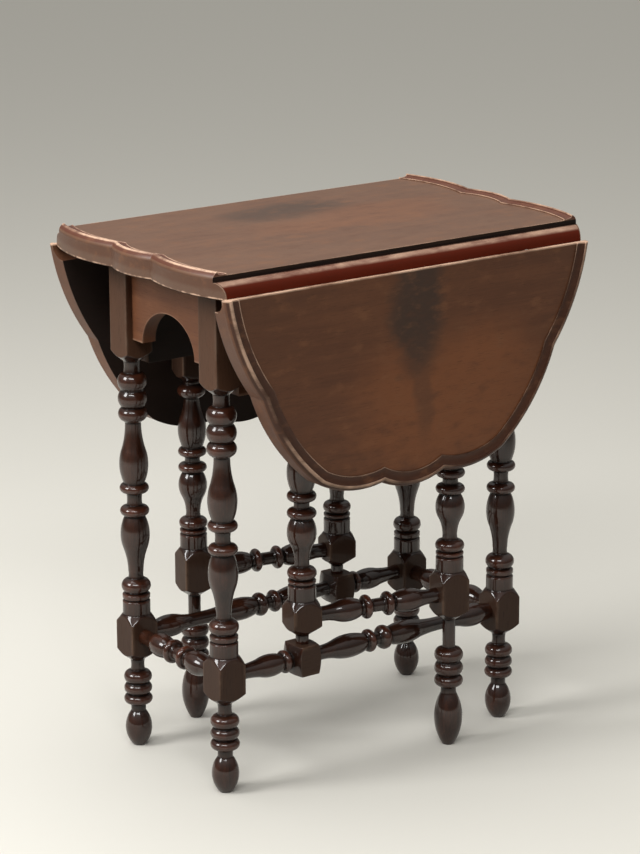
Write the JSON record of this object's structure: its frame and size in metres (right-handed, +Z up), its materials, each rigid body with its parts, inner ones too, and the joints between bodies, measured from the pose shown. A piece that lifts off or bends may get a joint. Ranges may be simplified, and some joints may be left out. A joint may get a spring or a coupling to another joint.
{
  "type": "gate-leg drop-leaf side table",
  "caption": "Small wooden gate-leg side table: top and drop leaves with a raised scalloped rim, rule joints, turned legs and stretchers, arched end aprons and swinging gates.",
  "frame": {"origin": "on the floor, under the middle of the fixed top", "axes": "+Z up; +X along the fixed top, parallel to the hinge lines; -Y towards the front leaf"},
  "size_m": [0.508, 0.3514, 0.6],
  "materials": {
    "top_wood": "polished dark red-brown stain",
    "apron_wood": "satin red-brown stain",
    "turned_wood": "glossy near-black brown stain",
    "brass_hinges": "aged brass",
    "steel_screws": "plain countersunk screws"
  },
  "bodies": {
    "frame": {"end_apron_left": "apron_wood", "end_apron_right": "apron_wood", "end_stretcher_left": "turned_wood", "end_stretcher_right": "turned_wood", "glue_block_back": "apron_wood", "glue_block_front": "apron_wood", "glue_block_left": "apron_wood", "glue_block_right": "apron_wood", "hinge_pin_left_back": "brass_hinges", "hinge_pin_left_front": "brass_hinges", "hinge_pin_right_back": "brass_hinges", "hinge_pin_right_front": "brass_hinges", "hinge_top_plate_left_back": "brass_hinges", "hinge_top_plate_left_front": "brass_hinges", "hinge_top_plate_right_back": "brass_hinges", "hinge_top_plate_right_front": "brass_hinges", "hinge_top_screws": "steel_screws", "leg_back_left": "turned_wood", "leg_back_right": "turned_wood", "leg_front_left": "turned_wood", "leg_front_right": "turned_wood", "long_stretcher_back": "turned_wood", "long_stretcher_front": "turned_wood", "side_apron_back": "apron_wood", "side_apron_front": "apron_wood", "top_board": "top_wood", "top_screws": "steel_screws"},
    "gate_front": {"gate_leg_front": "turned_wood", "gate_lower_rail_front": "turned_wood", "gate_upper_rail_front": "apron_wood", "pivot_post_front": "turned_wood"},
    "gate_back": {"gate_leg_back": "turned_wood", "gate_lower_rail_back": "turned_wood", "gate_upper_rail_back": "apron_wood", "pivot_post_back": "turned_wood"},
    "leaf_front": {"hinge_leaf_plate_left_front": "brass_hinges", "hinge_leaf_plate_right_front": "brass_hinges", "hinge_leaf_screws_front": "steel_screws", "leaf_front": "top_wood"},
    "leaf_back": {"hinge_leaf_plate_left_back": "brass_hinges", "hinge_leaf_plate_right_back": "brass_hinges", "hinge_leaf_screws_back": "steel_screws", "leaf_back": "top_wood"}
  },
  "joints": [
    {"name": "leaf_front_hinge", "type": "hinge", "parent": "frame", "child": "leaf_front", "pos_m": [0, -0.15, 0.5743], "axis": [-1, 0, 0], "range_deg": [0, 90]},
    {"name": "leaf_back_hinge", "type": "hinge", "parent": "frame", "child": "leaf_back", "pos_m": [0, 0.15, 0.5743], "axis": [1, 0, 0], "range_deg": [0, 90]},
    {"name": "gate_front_pivot", "type": "hinge", "parent": "frame", "child": "gate_front", "pos_m": [-0.088, -0.0874, 0.3], "axis": [0, 0, -1], "range_deg": [-3.5, 2]},
    {"name": "gate_back_pivot", "type": "hinge", "parent": "frame", "child": "gate_back", "pos_m": [0.088, 0.0874, 0.3], "axis": [0, 0, -1], "range_deg": [-3.5, 2]}
  ]
}
